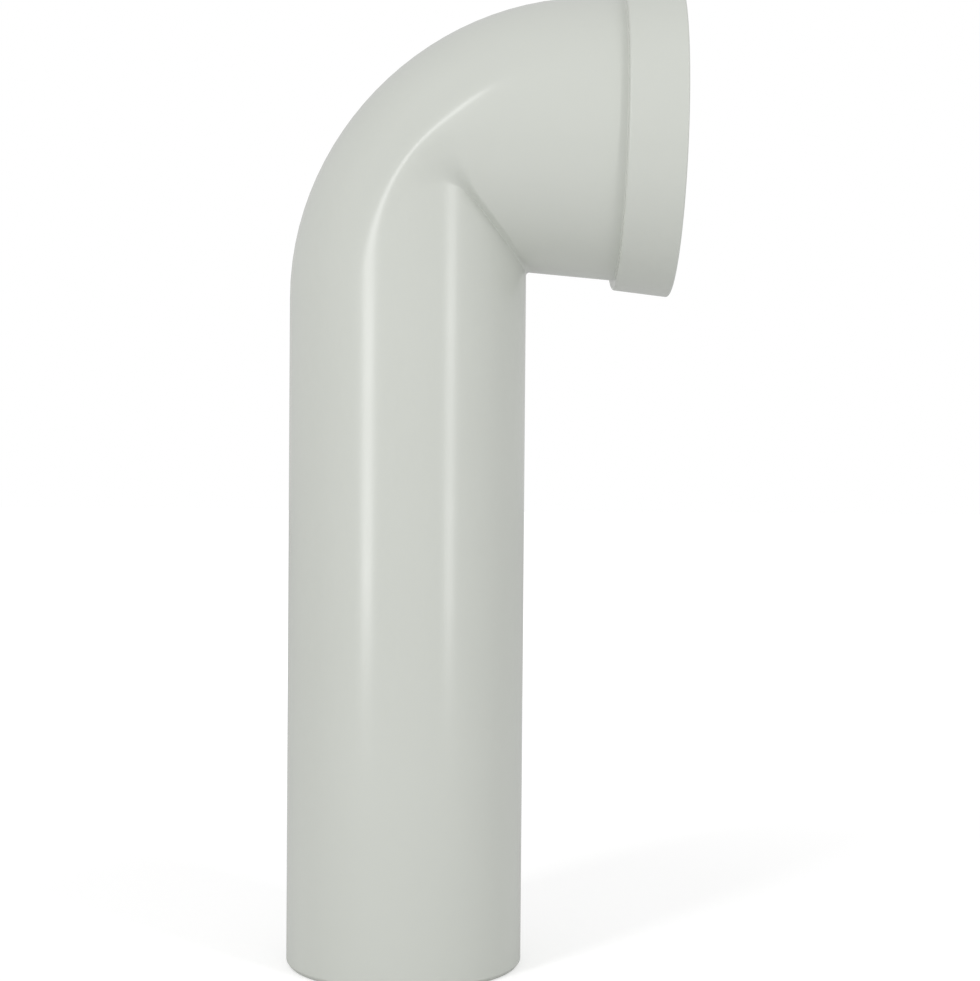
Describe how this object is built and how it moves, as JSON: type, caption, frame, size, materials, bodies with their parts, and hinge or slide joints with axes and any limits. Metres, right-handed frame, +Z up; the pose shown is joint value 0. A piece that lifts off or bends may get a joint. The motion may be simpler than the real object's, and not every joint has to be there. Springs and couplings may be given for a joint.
{
  "type": "long toilet pan connector",
  "caption": "Right-angle waste bend with a long plain leg, a flared neck and a wide collar that holds a rubber lip ring for a toilet pan's outlet.",
  "frame": {"origin": "middle of the leg's lower end, which stands on the floor", "axes": "+Z up the leg, +X towards the mouth of the collar"},
  "size_m": [0.1792, 0.1452, 0.4585],
  "materials": {
    "pale_pvc": "smooth moulded PVC with a soft gloss, pale grey-white",
    "ring_rubber": "matt dark grey rubber"
  },
  "bodies": {
    "root": {"bend_body": "pale_pvc", "lip_ring": "ring_rubber"}
  },
  "joints": []
}
